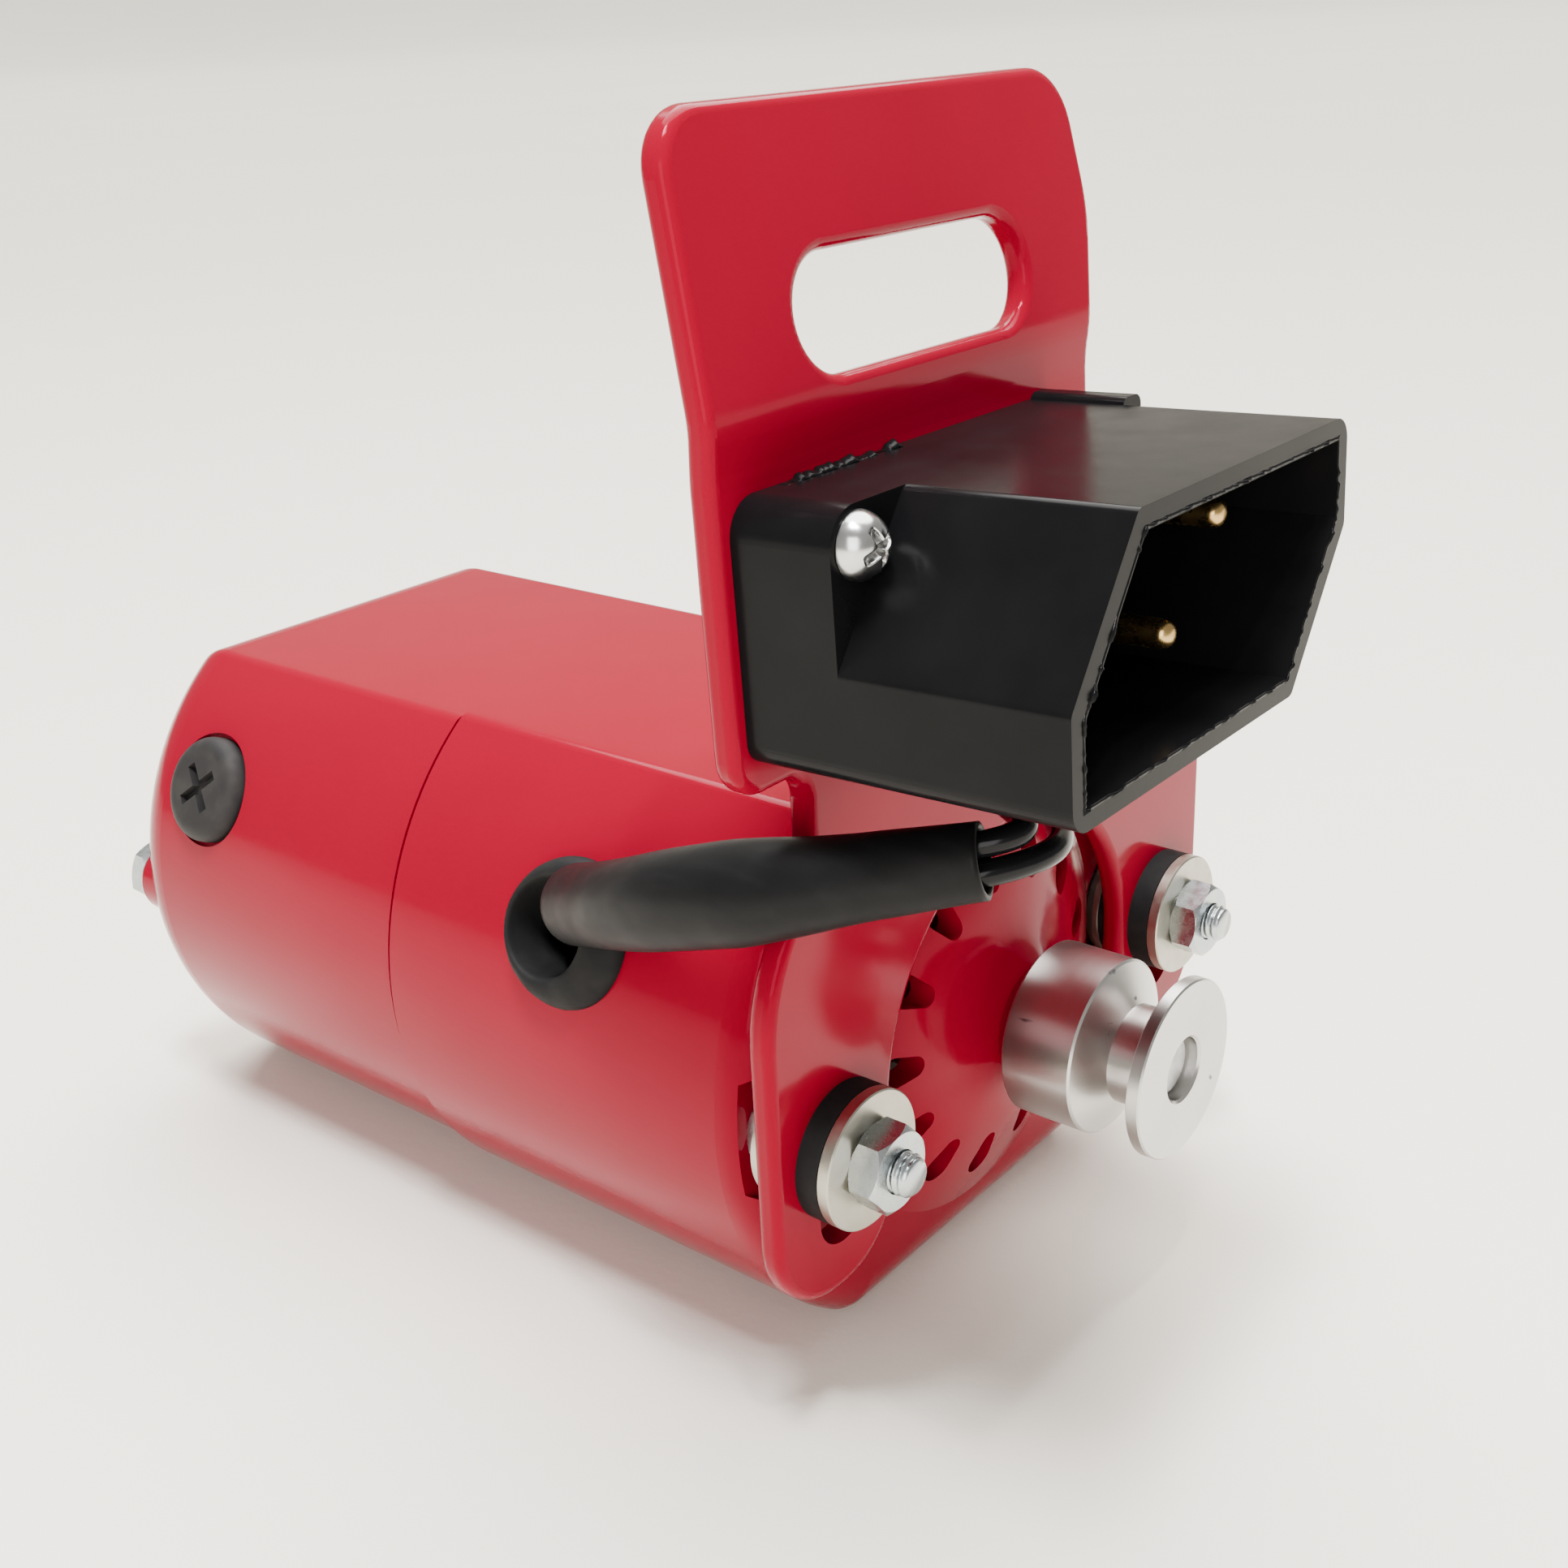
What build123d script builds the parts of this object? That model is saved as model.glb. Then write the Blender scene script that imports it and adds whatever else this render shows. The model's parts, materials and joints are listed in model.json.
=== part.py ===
from build123d import *
import math
import os

# A household sewing machine motor: two red shells, a bracket on rubber bushes, a belt pulley and a three-pin inlet.
# Everything is drawn around the shaft: x = 0 and z = 0 on the shaft axis, y = 0 on the bracket's front face, and y
# grows to the rear. Each part is moved into the shared frame as it is written, with its origin on the underside.

# Driving dimensions, millimetres
SHAFT_HEIGHT = 26.5
ORIGIN_BEHIND_BRACKET = 50.0

BODY_RADIUS = 32.9
RIDGE_RADIUS = 1.8
WALL = 2.2
END_WALL = 2.6
FACE_Y = 4.8
SEAM_Y = 53.0
SEAM_GAP = 0.6
SEAM_STEP = 0.6
SEAM_CHAMFER = 0.35
REAR_Y = 100.0
FRONT_EDGE_RADIUS = 5.0
REAR_EDGE_RADIUS = 7.0
BEARING_RADIUS = 6.0
BEARING_BOSS_RADIUS = 8.4

STUD_X = 27.7
STUD_RADIUS = 2.0
STUD_PAD_Y = 7.6
STUD_TIP_Y = -7.9
STUD_REAR_Y = 102.9
REAR_PAD_Y = 98.0
POST_RADIUS = 4.2
WASHER_RADIUS = 6.3
NUT_FLATS = 7.0
NUT_HEIGHT = 2.9
THIN_NUT_HEIGHT = 2.4
BUSH_FLANGE = 2.2
BUSH_REAR_FLANGE = 1.0

PLATE = 2.5
EAR_OUTER_X = 36.4
EAR_INNER_X = 19.7
ARCH_RADIUS = 20.2
EAR_BOTTOM_Z = -14.3
NECK_X = -29.8
FLAG_LEFT_X = -38.1
FLAG_RIGHT_X = 13.3
FLAG_BOTTOM_Z = 35.4
FLAG_TOP_Z = 84.6
LEAN_START_Z = 33.0
CREASE_START_Z = 59.5
CREASE_Z = 63.5
CREASE_FORWARD = 0.15
LOWER_LEAN = 2.0
UPPER_LEAN = 11.0
PLATE_BEND_RADII = [40.0, 18.0, 10.0]
PLATE_EDGE_RADIUS = 0.9
SLOT_CENTRE_X = -11.0
SLOT_CENTRE_Z = 69.2
SLOT_LENGTH = 30.6
SLOT_WIDTH = 9.0

INLET_LEFT_X = -36.6
INLET_RIGHT_X = 4.9
INLET_BOTTOM_Z = 38.1
INLET_TOP_Z = 58.3
INLET_CUT_X = 8.9
INLET_CUT_Z = 11.6
INLET_BASE_DEPTH = 9.0
INLET_DEPTH = 27.8
INLET_WALL = 1.7
INLET_SCREW_CORNER = 3.0
INLET_SHROUD_CORNER = 1.9
INLET_SCREWS = [(-33.5, 55.3), (1.8, 41.1)]
INLET_SCREW_RADIUS = 2.55
INLET_RIB_WIDTH = 3.0
INLET_RIB_HEIGHT = 6.0
INLET_RIB_RISE = 0.5
INLET_PINS = [(-21.6, 52.4), (-5.6, 52.4), (-13.6, 45.0)]
PIN_RADIUS = 1.15
PIN_TIP_DEPTH = 22.8

VENT_COUNT = 13
VENT_START = 95.0
VENT_PITCH_RADIUS = 15.4
REAR_VENT_PITCH_RADIUS = 17.5

GROMMET_Y = 28.8
GROMMET_ANGLE = 156.1
GROMMET_RADIUS = 7.05
GROMMET_HOLE_Y = 30.4
GROMMET_NECK_RADIUS = 5.2
GROMMET_BORE = 4.5
SLEEVE_RADIUS = 3.7
SLEEVE_BORE = 2.75
WIRE_RADIUS = 1.05
WIRE_OFFSET = (0.54, 0.0, 1.07)

BRUSH_Y = 85.6
BRUSH_ANGLES = {"left": 154.0, "right": -26.0}
BRUSH_CAP_RADIUS = 5.8
BRUSH_CAP_SEAT = 31.0
BRUSH_CAP_HEIGHT = 2.7
BRUSH_CAP_SLOT = (5.8, 1.15)
COMMUTATOR_RADIUS = 10.0
COMMUTATOR_BARS = 24

SHAFT_RADIUS = 3.0
SHAFT_FRONT_Y = -16.6
SHAFT_REAR_Y = 96.6
RUNNING_CLEARANCE = 0.03
PULLEY_FRONT_Y = -17.9
PULLEY_REAR_Y = -3.5
PULLEY_RADIUS = 8.5
DRUM_RADIUS = 8.35
DRUM_FRONT_Y = -10.8
GROOVE_RADIUS = 4.7
SET_SCREW_Y = -7.0

STATOR_FRONT_Y = 38.0
STATOR_REAR_Y = 64.0
SPACER_RADIUS = 4.8
STATOR_RADIUS = 29.8
STATOR_HALF_HEIGHT = 23.6
STATOR_BORE = 16.4
COIL_INNER = 18.1
COIL_OUTER = 23.3
COIL_OVERHANG = 6.0
ARMATURE_RADIUS = 15.9
ARMATURE_SLOTS = 12
ARMATURE_SLOT_RADIUS = 2.3
ARMATURE_SLOT_PITCH = 12.0
FAN_RADIUS = 22.0
FAN_BLADES = 11

TO_FRAME = Location((0, -ORIGIN_BEHIND_BRACKET, SHAFT_HEIGHT))


# Drawing helpers

def facing_front(y):
    """A plane across the shaft at y: its local x is +x and its local y is +z."""
    return Plane(origin=(0, y, 0), x_dir=(1, 0, 0), z_dir=(0, -1, 0))


def slab(sketch, y_start, y_end):
    """A sketch drawn in x and z, as a solid from y_start back to y_end."""
    return extrude(facing_front(y_start) * sketch, amount=-(y_end - y_start))


def rod(radius, y_start, y_end, x=0.0, z=0.0):
    return slab(Pos(x, z) * Circle(radius), y_start, y_end)


def tube(outer, inner, y_start, y_end, x=0.0, z=0.0):
    return slab(Pos(x, z) * (Circle(outer) - Circle(inner)), y_start, y_end)


def lathe(points):
    """A solid of revolution about the shaft from (radius, y) points."""
    return revolve(make_face(Polyline(*points, close=True)), Axis.Y)


def hexagon(flats, y_start, y_end, x=0.0, z=0.0, turn=0.0):
    """A hexagonal block along y with chamfered corners at both ends."""
    corner = flats / 2 / math.cos(math.pi / 6)
    cut = corner - flats / 2
    block = slab(Rot(0, 0, turn) * RegularPolygon(corner, 6), y_start, y_end)
    dish = lathe([(0, y_start), (flats / 2, y_start), (corner + 0.1, y_start + cut), (corner + 0.1, y_end - cut),
                  (flats / 2, y_end), (0, y_end)])
    return Pos(x, 0, z) * (block & dish)


def radially(angle, y):
    """A location on the shaft axis at y whose local z points outwards at this angle from +x towards +z."""
    outwards = (math.cos(math.radians(angle)), 0, math.sin(math.radians(angle)))
    return Plane(origin=(0, y, 0), x_dir=(0, 1, 0), z_dir=outwards).location


def post(radius, start, end):
    """A cylinder along local z from start to end."""
    return Pos(0, 0, (start + end) / 2) * Cylinder(radius, end - start)


def ring_sector(inner, outer, middle, half_angle):
    """Part of a flat ring, centred on one direction."""
    reach = 2 * outer
    edge = math.radians(half_angle)
    wedge = make_face(Polyline((0, 0), (reach * math.cos(edge), -reach * math.sin(edge)), (2 * reach, 0),
                               (reach * math.cos(edge), reach * math.sin(edge)), close=True))
    return (Circle(outer) - Circle(inner)) & (Rot(0, 0, middle) * wedge)


def leaning(shape, lean, pivot_y, pivot_z):
    """Tips a shape back by lean degrees about a level line at pivot_y and pivot_z."""
    return Pos(0, pivot_y, pivot_z) * Rot(-lean, 0, 0) * Pos(0, -pivot_y, -pivot_z) * shape


def on_lower_flag(shape):
    return leaning(shape, LOWER_LEAN, PLATE / 2, LEAN_START_Z)


def crease_start_y():
    """The middle of the plate where it starts to crease forwards."""
    return PLATE / 2 + (CREASE_START_Z - LEAN_START_Z) * math.tan(math.radians(LOWER_LEAN))


def crease_y():
    """The middle of the plate at the crease, where its upper part starts to lean back."""
    return crease_start_y() - CREASE_FORWARD


def swept_tube(points, radii, outer):
    """A round bar along straight runs that are joined by tangent arcs."""
    path = FilletPolyline(*points, radius=radii)
    return sweep(Plane(origin=path @ 0, z_dir=path % 0) * Circle(outer), path=path)


def bend_radii(points, share=0.45):
    """The largest arc at each corner of a route that its two runs leave room for."""
    radii = []
    for before, here, after in zip(points, points[1:], points[2:]):
        arriving = Vector(*here) - Vector(*before)
        leaving = Vector(*after) - Vector(*here)
        turn = math.radians(arriving.get_angle(leaving))
        radii.append(share * min(arriving.length, leaving.length) / math.tan(turn / 2))
    return radii


# Casing

def body_outline(inset=0.0):
    """A circle with a flat top and a flat bottom."""
    return Circle(BODY_RADIUS - inset) & Rectangle(100, 2 * (SHAFT_HEIGHT - inset))


def rear_outline():
    """The rear shell is a little smaller than the front one, except at the underside, which is flush."""
    flats = Pos(0, -SEAM_STEP / 2) * Rectangle(100, 2 * SHAFT_HEIGHT - SEAM_STEP)
    return Circle(BODY_RADIUS - SEAM_STEP) & flats


def ridges(solid):
    """The four long edges where the round sides meet the flats."""
    return [edge for edge in solid.edges() if edge.bounding_box().size.Y > 10]


def edges_at(solid, y):
    """The edges of an end face."""
    return [edge for edge in solid.edges()
            if abs(edge.bounding_box().min.Y - y) < 0.01 and abs(edge.bounding_box().max.Y - y) < 0.01]


def closed_cup(outline, y_start, y_end, closed_y, edge_radius):
    """A block with rounded ridges and a rounded edge around its closed end."""
    block = slab(outline, y_start, y_end)
    block = fillet(ridges(block), RIDGE_RADIUS)
    return fillet(edges_at(block, closed_y), edge_radius)


def front_dome():
    """The raised middle of the front end, with the bearing boss at its centre."""
    skin = Spline((5.4, -1.5), (8.0, 0.1), (12.0, 1.2), (17.0, 2.9), (21.4, 4.75))
    back = Polyline((21.4, 4.75), (21.4, 7.0), (0, 7.0), (0, -1.8), (4.6, -1.8), (5.4, -1.5))
    return revolve(make_face([*skin.edges(), *back.edges()]), Axis.Y)


def vent_slots(pitch_radius):
    """A ring of radial drops, each wider at its outer end."""
    drop = make_hull([*(Pos(-1.2, 0) * Circle(1.1)).edges(), *(Pos(0.9, 0) * Circle(1.6)).edges()])
    slots = Sketch()
    for number in range(VENT_COUNT):
        turn = VENT_START + number * 360 / VENT_COUNT
        slots += Rot(0, 0, turn) * Pos(pitch_radius, 0) * drop
    return slots


def front_housing():
    shell = closed_cup(body_outline(), FACE_Y, SEAM_Y, FACE_Y, FRONT_EDGE_RADIUS)
    shell = chamfer(edges_at(shell, SEAM_Y), SEAM_CHAMFER)
    inside = closed_cup(body_outline(WALL), FACE_Y + END_WALL, SEAM_Y + 1, FACE_Y + END_WALL, 3.0)
    shell += front_dome()
    shell -= inside
    shell += rod(BEARING_BOSS_RADIUS, 3.0, 11.4)
    shell -= lathe([(9.4, 3.8), (9.4, 9), (24, 9), (24, 7.2), (17, 5.3), (12, 3.9)])
    for side in (-1, 1):
        shell += rod(POST_RADIUS, STUD_PAD_Y, STATOR_FRONT_Y, side * STUD_X)
        shell -= rod(WASHER_RADIUS + 0.7, -2, STUD_PAD_Y, side * STUD_X)
        shell -= rod(STUD_RADIUS + 0.15, 0, 60, side * STUD_X)
    shell -= rod(BEARING_RADIUS, 1.6, 12)
    shell -= rod(SHAFT_RADIUS + 0.5, -3, 3)
    shell -= slab(vent_slots(VENT_PITCH_RADIUS), -2, 10)
    lip = slab(body_outline(1.3) - body_outline(WALL), SEAM_Y - 0.5, SEAM_Y + 2.6)
    return shell + lip - radially(GROMMET_ANGLE, GROMMET_HOLE_Y) * post(GROMMET_NECK_RADIUS, 26, 40)


def rear_housing():
    shell = closed_cup(rear_outline(), SEAM_Y + SEAM_GAP, REAR_Y, REAR_Y, REAR_EDGE_RADIUS)
    shell -= closed_cup(body_outline(WALL), SEAM_Y - 1, REAR_Y - END_WALL, REAR_Y - END_WALL, 5.0)
    shell -= slab(body_outline(1.2), SEAM_Y - 1, SEAM_Y + 2.8)
    shell += rod(BEARING_BOSS_RADIUS, 90.9, REAR_Y - 1)
    shell -= rod(BEARING_RADIUS, 80, REAR_Y - END_WALL)
    for side in (-1, 1):
        shell += rod(POST_RADIUS, STATOR_REAR_Y, REAR_Y - 2, side * STUD_X)
        shell -= rod(5.2, REAR_PAD_Y, REAR_Y + 2, side * STUD_X)
        shell -= rod(STUD_RADIUS + 0.15, 50, REAR_Y + 2, side * STUD_X)
    shell -= slab(vent_slots(REAR_VENT_PITCH_RADIUS), REAR_Y - 6, REAR_Y + 2)
    for angle in BRUSH_ANGLES.values():
        station = radially(angle, BRUSH_Y)
        shell -= station * post(5.2, 24, 40)
        shell -= station * post(BRUSH_CAP_RADIUS + 0.5, BRUSH_CAP_SEAT, 40)
    return shell


# Bracket and its fixings

def plate_outline():
    points = [
        (-EAR_OUTER_X, EAR_BOTTOM_Z), (-EAR_OUTER_X, 17.5), (NECK_X, 27.5), (NECK_X, FLAG_BOTTOM_Z),
        (FLAG_LEFT_X, FLAG_BOTTOM_Z), (FLAG_LEFT_X, CREASE_Z), (FLAG_LEFT_X + 0.8, FLAG_TOP_Z),
        (14.6, FLAG_TOP_Z), (16.0, 72.5), (FLAG_RIGHT_X, 61.5), (FLAG_RIGHT_X, 36.5), (27.0, 31.5),
        (EAR_OUTER_X, 19.0), (EAR_OUTER_X, EAR_BOTTOM_Z),
    ]
    radii = [7.8, 16.0, 9.0, 2.4, 3.2, 30.0, 4.8, 5.5, 14.0, 14.0, 4.0, 9.0, 14.0, 7.8]
    plate = make_face(FilletPolyline(*points, radius=radii, close=True))
    plate -= Circle(ARCH_RADIUS)
    plate -= Pos(0, -15) * Rectangle(2 * EAR_INNER_X, 30)
    inner_corners = [v for v in plate.vertices() if abs(abs(v.X) - EAR_INNER_X) < 0.01 and v.Y < EAR_BOTTOM_Z + 0.1]
    return fillet(inner_corners, 7.8)


def plate_side_view():
    """The bent plate seen from its side, drawn in y and z: upright, leaning a little, then leaning more."""
    top_y = crease_y() + (FLAG_TOP_Z + 5 - CREASE_Z) * math.tan(math.radians(UPPER_LEAN))
    middle = [(PLATE / 2, EAR_BOTTOM_Z - 5), (PLATE / 2, LEAN_START_Z), (crease_start_y(), CREASE_START_Z),
              (crease_y(), CREASE_Z), (top_y, FLAG_TOP_Z + 5)]
    bend = FilletPolyline(*middle, radius=PLATE_BEND_RADII)
    return trace(bend, line_width=PLATE)


def slotted_ear(x):
    return Pos(x, -2.0) * Rot(0, 0, 90) * SlotOverall(15.0, 6.4)


def mounting_bracket():
    side_view = Plane.YZ * plate_side_view()
    plate = extrude(side_view, amount=60, both=True) & slab(plate_outline(), -6, 14)
    long_slot = Pos(SLOT_CENTRE_X, SLOT_CENTRE_Z) * SlotOverall(SLOT_LENGTH, SLOT_WIDTH)
    plate -= leaning(slab(long_slot, -10, 20), UPPER_LEAN, crease_y(), CREASE_Z)
    rims = [e for e in plate.edges() if e.bounding_box().size.Y < 7.5 and e.length > 0.5]
    across = [e for e in rims if abs((e @ 1 - e @ 0).Y) > 2.2 and e.length < 3.5]
    plate = fillet([e for e in rims if e not in across], PLATE_EDGE_RADIUS)
    for x in (-STUD_X, STUD_X):
        plate -= slab(slotted_ear(x), -2, 5)
    for x, z in INLET_SCREWS:
        plate -= on_lower_flag(rod(1.5, -2, 6, x, z))
    return plate


def bracket_bush(x):
    """A rubber bobbin that holds one ear of the bracket off the stud."""
    bush = rod(WASHER_RADIUS, -BUSH_FLANGE, 0, x)
    bush += rod(3.1, -0.5, PLATE + 0.5, x)
    bush += rod(WASHER_RADIUS, PLATE, PLATE + BUSH_REAR_FLANGE, x)
    return bush - rod(STUD_RADIUS + 0.1, -5, 8, x)


def washer(radius, thickness, y_start, x, z=0.0):
    disc = tube(radius, STUD_RADIUS + 0.1, y_start, y_start + thickness, x, z)
    return chamfer(disc.edges(), 0.12)


def nut(y_start, height, x, turn):
    return hexagon(NUT_FLATS, y_start, y_start + height, x, 0, turn) - rod(STUD_RADIUS, -20, 120, x)


def through_stud(x):
    """A long stud that holds the two shells together and carries the bracket."""
    stud = rod(STUD_RADIUS, STUD_TIP_Y, STUD_REAR_Y, x)
    return chamfer([*edges_at(stud, STUD_TIP_Y), *edges_at(stud, STUD_REAR_Y)], 0.45)


# Inlet and its lead

def inlet_outline(inset=0.0):
    """A block whose top left and bottom right corners are cut off, so that a plug fits one way round."""
    left, right = INLET_LEFT_X + inset, INLET_RIGHT_X - inset
    bottom, top = INLET_BOTTOM_Z + inset, INLET_TOP_Z - inset
    side, level = INLET_CUT_X - 0.45 * inset, INLET_CUT_Z - 0.45 * inset
    return make_face(Polyline((left, bottom), (right - side, bottom), (right, bottom + level), (right, top),
                              (left + side, top), (left, top - level), close=True))


def inlet_middle():
    return (INLET_LEFT_X + INLET_RIGHT_X) / 2, (INLET_BOTTOM_Z + INLET_TOP_Z) / 2


def still_at(vertices, places):
    """The vertices that lie at the places of others, after a shape has been rebuilt."""
    return [v for v in vertices if any((Vector(v) - Vector(p)).length < 0.01 for p in places)]


def inlet_box(inset):
    """The base's outline: its screw corners are rounder than the corners that the shroud shares."""
    width = INLET_RIGHT_X - INLET_LEFT_X - 2 * inset
    height = INLET_TOP_Z - INLET_BOTTOM_Z - 2 * inset
    outline = Pos(*inlet_middle()) * Rectangle(width, height)
    middle_x, middle_z = inlet_middle()
    screw_corners = [v for v in outline.vertices() if (v.X - middle_x) * (v.Y - middle_z) < 0]
    shroud_corners = [v for v in outline.vertices() if (v.X - middle_x) * (v.Y - middle_z) > 0]
    outline = fillet(screw_corners, INLET_SCREW_CORNER)
    return fillet(still_at(outline.vertices(), shroud_corners), INLET_SHROUD_CORNER)


def inlet_housing():
    base = slab(inlet_box(0), -INLET_BASE_DEPTH, 0)
    shroud = slab(inlet_outline(), -INLET_DEPTH, -INLET_BASE_DEPTH + 1)
    long_edges = [e for e in shroud.edges() if e.bounding_box().size.Y > 10]
    middle_x, middle_z = inlet_middle()
    square = [e for e in long_edges if (e.center().X - middle_x) * (e.center().Z - middle_z) > 0
              and abs(e.center().X - middle_x) > 20 and abs(e.center().Z - middle_z) > 9]
    shroud = fillet([e for e in long_edges if e not in square], 0.9)
    corners = [e for e in shroud.edges() if any((e.center() - c.center()).length < 0.01 for c in square)]
    shroud = fillet(corners, INLET_SHROUD_CORNER)
    rib_middle = Pos(INLET_RIGHT_X, INLET_TOP_Z + INLET_RIB_RISE - INLET_RIB_HEIGHT / 2)
    rib = rib_middle * RectangleRounded(INLET_RIB_WIDTH, INLET_RIB_HEIGHT, 0.9)
    body = base + shroud + slab(rib, -INLET_BASE_DEPTH, 0)
    body -= slab(inlet_outline(INLET_WALL), -INLET_DEPTH - 1, -INLET_BASE_DEPTH)
    hollow = slab(inlet_box(1.8), -INLET_BASE_DEPTH + 2.4, 1)
    for x, z in INLET_SCREWS:
        hollow -= rod(3.4, -20, 5, x, z)
    body -= hollow
    for x, z in INLET_SCREWS:
        body -= rod(1.6, -20, 5, x, z)
        body -= rod(INLET_SCREW_RADIUS + 0.15, -INLET_BASE_DEPTH - 3, -INLET_BASE_DEPTH, x, z)
    for x, z in INLET_PINS:
        body -= rod(PIN_RADIUS, -20, 5, x, z)
    body = on_lower_flag(body)
    for x, y in (WIRE_LOW[-1][:2], WIRE_HIGH[-1][:2]):
        body -= Pos(x, y, INLET_BOTTOM_Z) * Cylinder(WIRE_RADIUS + 0.1, 8)
    return body


def inlet_pin(x, z):
    """A brass pin with a rounded tip, and a square tail behind the floor of the inlet."""
    pin = rod(PIN_RADIUS, -PIN_TIP_DEPTH, -INLET_BASE_DEPTH + 2.4, x, z)
    pin = fillet(edges_at(pin, -PIN_TIP_DEPTH), PIN_RADIUS * 0.85)
    collar = rod(1.9, -INLET_BASE_DEPTH + 2.4, -INLET_BASE_DEPTH + 3.2, x, z)
    tail = slab(Pos(x, z) * Rectangle(1.6, 0.8), -INLET_BASE_DEPTH + 3.2, -1.4)
    return on_lower_flag(pin + collar + tail)


def inlet_screw(x, z):
    """A cross-head screw with a domed head, tapped into the bracket."""
    rim = INLET_SCREW_RADIUS
    head = lathe([(0, -2.3), (0.5 * rim, -2.15), (0.8 * rim, -1.6), (0.98 * rim, -0.8), (rim, 0), (0, 0)])
    cross = Box(3.2, 2.4, 0.55) + Box(0.55, 2.4, 3.2)
    head -= Pos(0, -2.3, 0) * Rot(0, 30, 0) * cross
    shank = rod(1.5, -0.5, INLET_BASE_DEPTH + PLATE + 1.2)
    return on_lower_flag(Pos(x, -INLET_BASE_DEPTH, z) * (head + shank))


# The lead's route, from the hole in the front shell, past the bracket's neck, to below the inlet
SLEEVE_ROUTE = [
    (-27.2, 32.0, 11.5), (-34.5, 25.8, 16.4), (-35.0, 17.3, 21.0), (-35.5, 8.6, 24.6),
    (-34.7, -0.5, 27.5), (-31.9, -8.5, 29.8), (-28.6, -15.3, 31.4),
]
WIRE_START = [(-16.9, 30.6, 13.8), (-19.8, 30.5, 11.3), (-23.4, 31.8, 10.2)]
WIRE_LOW_END = [
    (-24.2, -18.4, 30.9), (-18.9, -16.4, 30.2), (-14.6, -11.4, 31.2), (-12.8, -5.4, 34.4), (-12.8, -5.4, 40.4),
]
WIRE_HIGH_END = [(-25.0, -17.4, 33.2), (-21.9, -12.6, 33.3), (-20.5, -5.4, 34.6), (-20.5, -5.4, 40.4)]


def shifted(points, sign):
    return [tuple(p + sign * o for p, o in zip(point, WIRE_OFFSET)) for point in points]


WIRE_LOW = [*shifted(WIRE_START, -1), *shifted(SLEEVE_ROUTE, -1), *WIRE_LOW_END]
WIRE_HIGH = [*shifted(WIRE_START, 1), *shifted(SLEEVE_ROUTE, 1), *WIRE_HIGH_END]


def lead_sleeve():
    radii = bend_radii(SLEEVE_ROUTE)
    print("sleeve radii", [round(radius, 1) for radius in radii])
    return swept_tube(SLEEVE_ROUTE, radii, SLEEVE_RADIUS) - swept_tube(SLEEVE_ROUTE, radii, SLEEVE_BORE)


def lead_wire(route):
    radii = bend_radii(route)
    wire = swept_tube(route, radii, WIRE_RADIUS)
    length = wire.volume / (math.pi * WIRE_RADIUS ** 2)
    print("wire length", round(length, 1), "radii", [round(radius, 1) for radius in radii])
    return wire


def lead_grommet():
    """A domed rubber grommet whose bore sits towards the rear, with the sleeve bedded in its front lip."""
    dome = radially(GROMMET_ANGLE, GROMMET_Y) * fillet(post(GROMMET_RADIUS, 28, 35.4).edges(), 1.9)
    outside = dome - rod(BODY_RADIUS, 0, 60)
    station = radially(GROMMET_ANGLE, GROMMET_HOLE_Y)
    neck = station * post(GROMMET_NECK_RADIUS, 28.5, 34.0)
    inner_rim = station * post(6.6, 28.5, 33) & rod(BODY_RADIUS - WALL, 0, 60)
    bed = swept_tube(SLEEVE_ROUTE, bend_radii(SLEEVE_ROUTE), SLEEVE_RADIUS + 0.12)
    return outside + neck + inner_rim - station * post(GROMMET_BORE, 20, 40) - bed


# Rotor

def shaft():
    bar = rod(SHAFT_RADIUS, SHAFT_FRONT_Y, SHAFT_REAR_Y)
    return chamfer([*edges_at(bar, SHAFT_FRONT_Y), *edges_at(bar, SHAFT_REAR_Y)], 0.4)


def pulley():
    """A long drum, a narrow V groove for the belt and a thin front flange."""
    profile = [
        (SHAFT_RADIUS, PULLEY_REAR_Y), (DRUM_RADIUS - 0.3, PULLEY_REAR_Y), (DRUM_RADIUS, PULLEY_REAR_Y - 0.3),
        (DRUM_RADIUS, DRUM_FRONT_Y + 0.2), (DRUM_RADIUS - 0.2, DRUM_FRONT_Y), (GROOVE_RADIUS, -12.6),
        (GROOVE_RADIUS, -15.2), (PULLEY_RADIUS - 0.1, -16.6), (PULLEY_RADIUS, -16.7),
        (PULLEY_RADIUS, PULLEY_FRONT_Y + 0.15), (PULLEY_RADIUS - 0.15, PULLEY_FRONT_Y),
        (SHAFT_RADIUS + 0.25, PULLEY_FRONT_Y), (SHAFT_RADIUS, PULLEY_FRONT_Y + 0.25),
    ]
    return lathe(profile) - set_screw_station() * post(1.5, 0, 12)


def set_screw_station():
    return radially(-40, SET_SCREW_Y)


def pulley_set_screw():
    screw = post(1.5, SHAFT_RADIUS, 7.6)
    socket = Pos(0, 0, 7.6) * extrude(RegularPolygon(0.85, 6), amount=-1.8)
    return set_screw_station() * (screw - socket)


def armature_core():
    slots = Sketch()
    for number in range(ARMATURE_SLOTS):
        opening = Pos((ARMATURE_SLOT_PITCH + 17) / 2, 0) * Rectangle(17 - ARMATURE_SLOT_PITCH, 1.6)
        slot = Pos(ARMATURE_SLOT_PITCH, 0) * Circle(ARMATURE_SLOT_RADIUS) + opening
        slots += Rot(0, 0, number * 360 / ARMATURE_SLOTS) * slot
    disc = Circle(ARMATURE_RADIUS) - Circle(SHAFT_RADIUS) - slots
    return slab(disc, STATOR_FRONT_Y + 0.5, STATOR_REAR_Y - 0.5)


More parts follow.
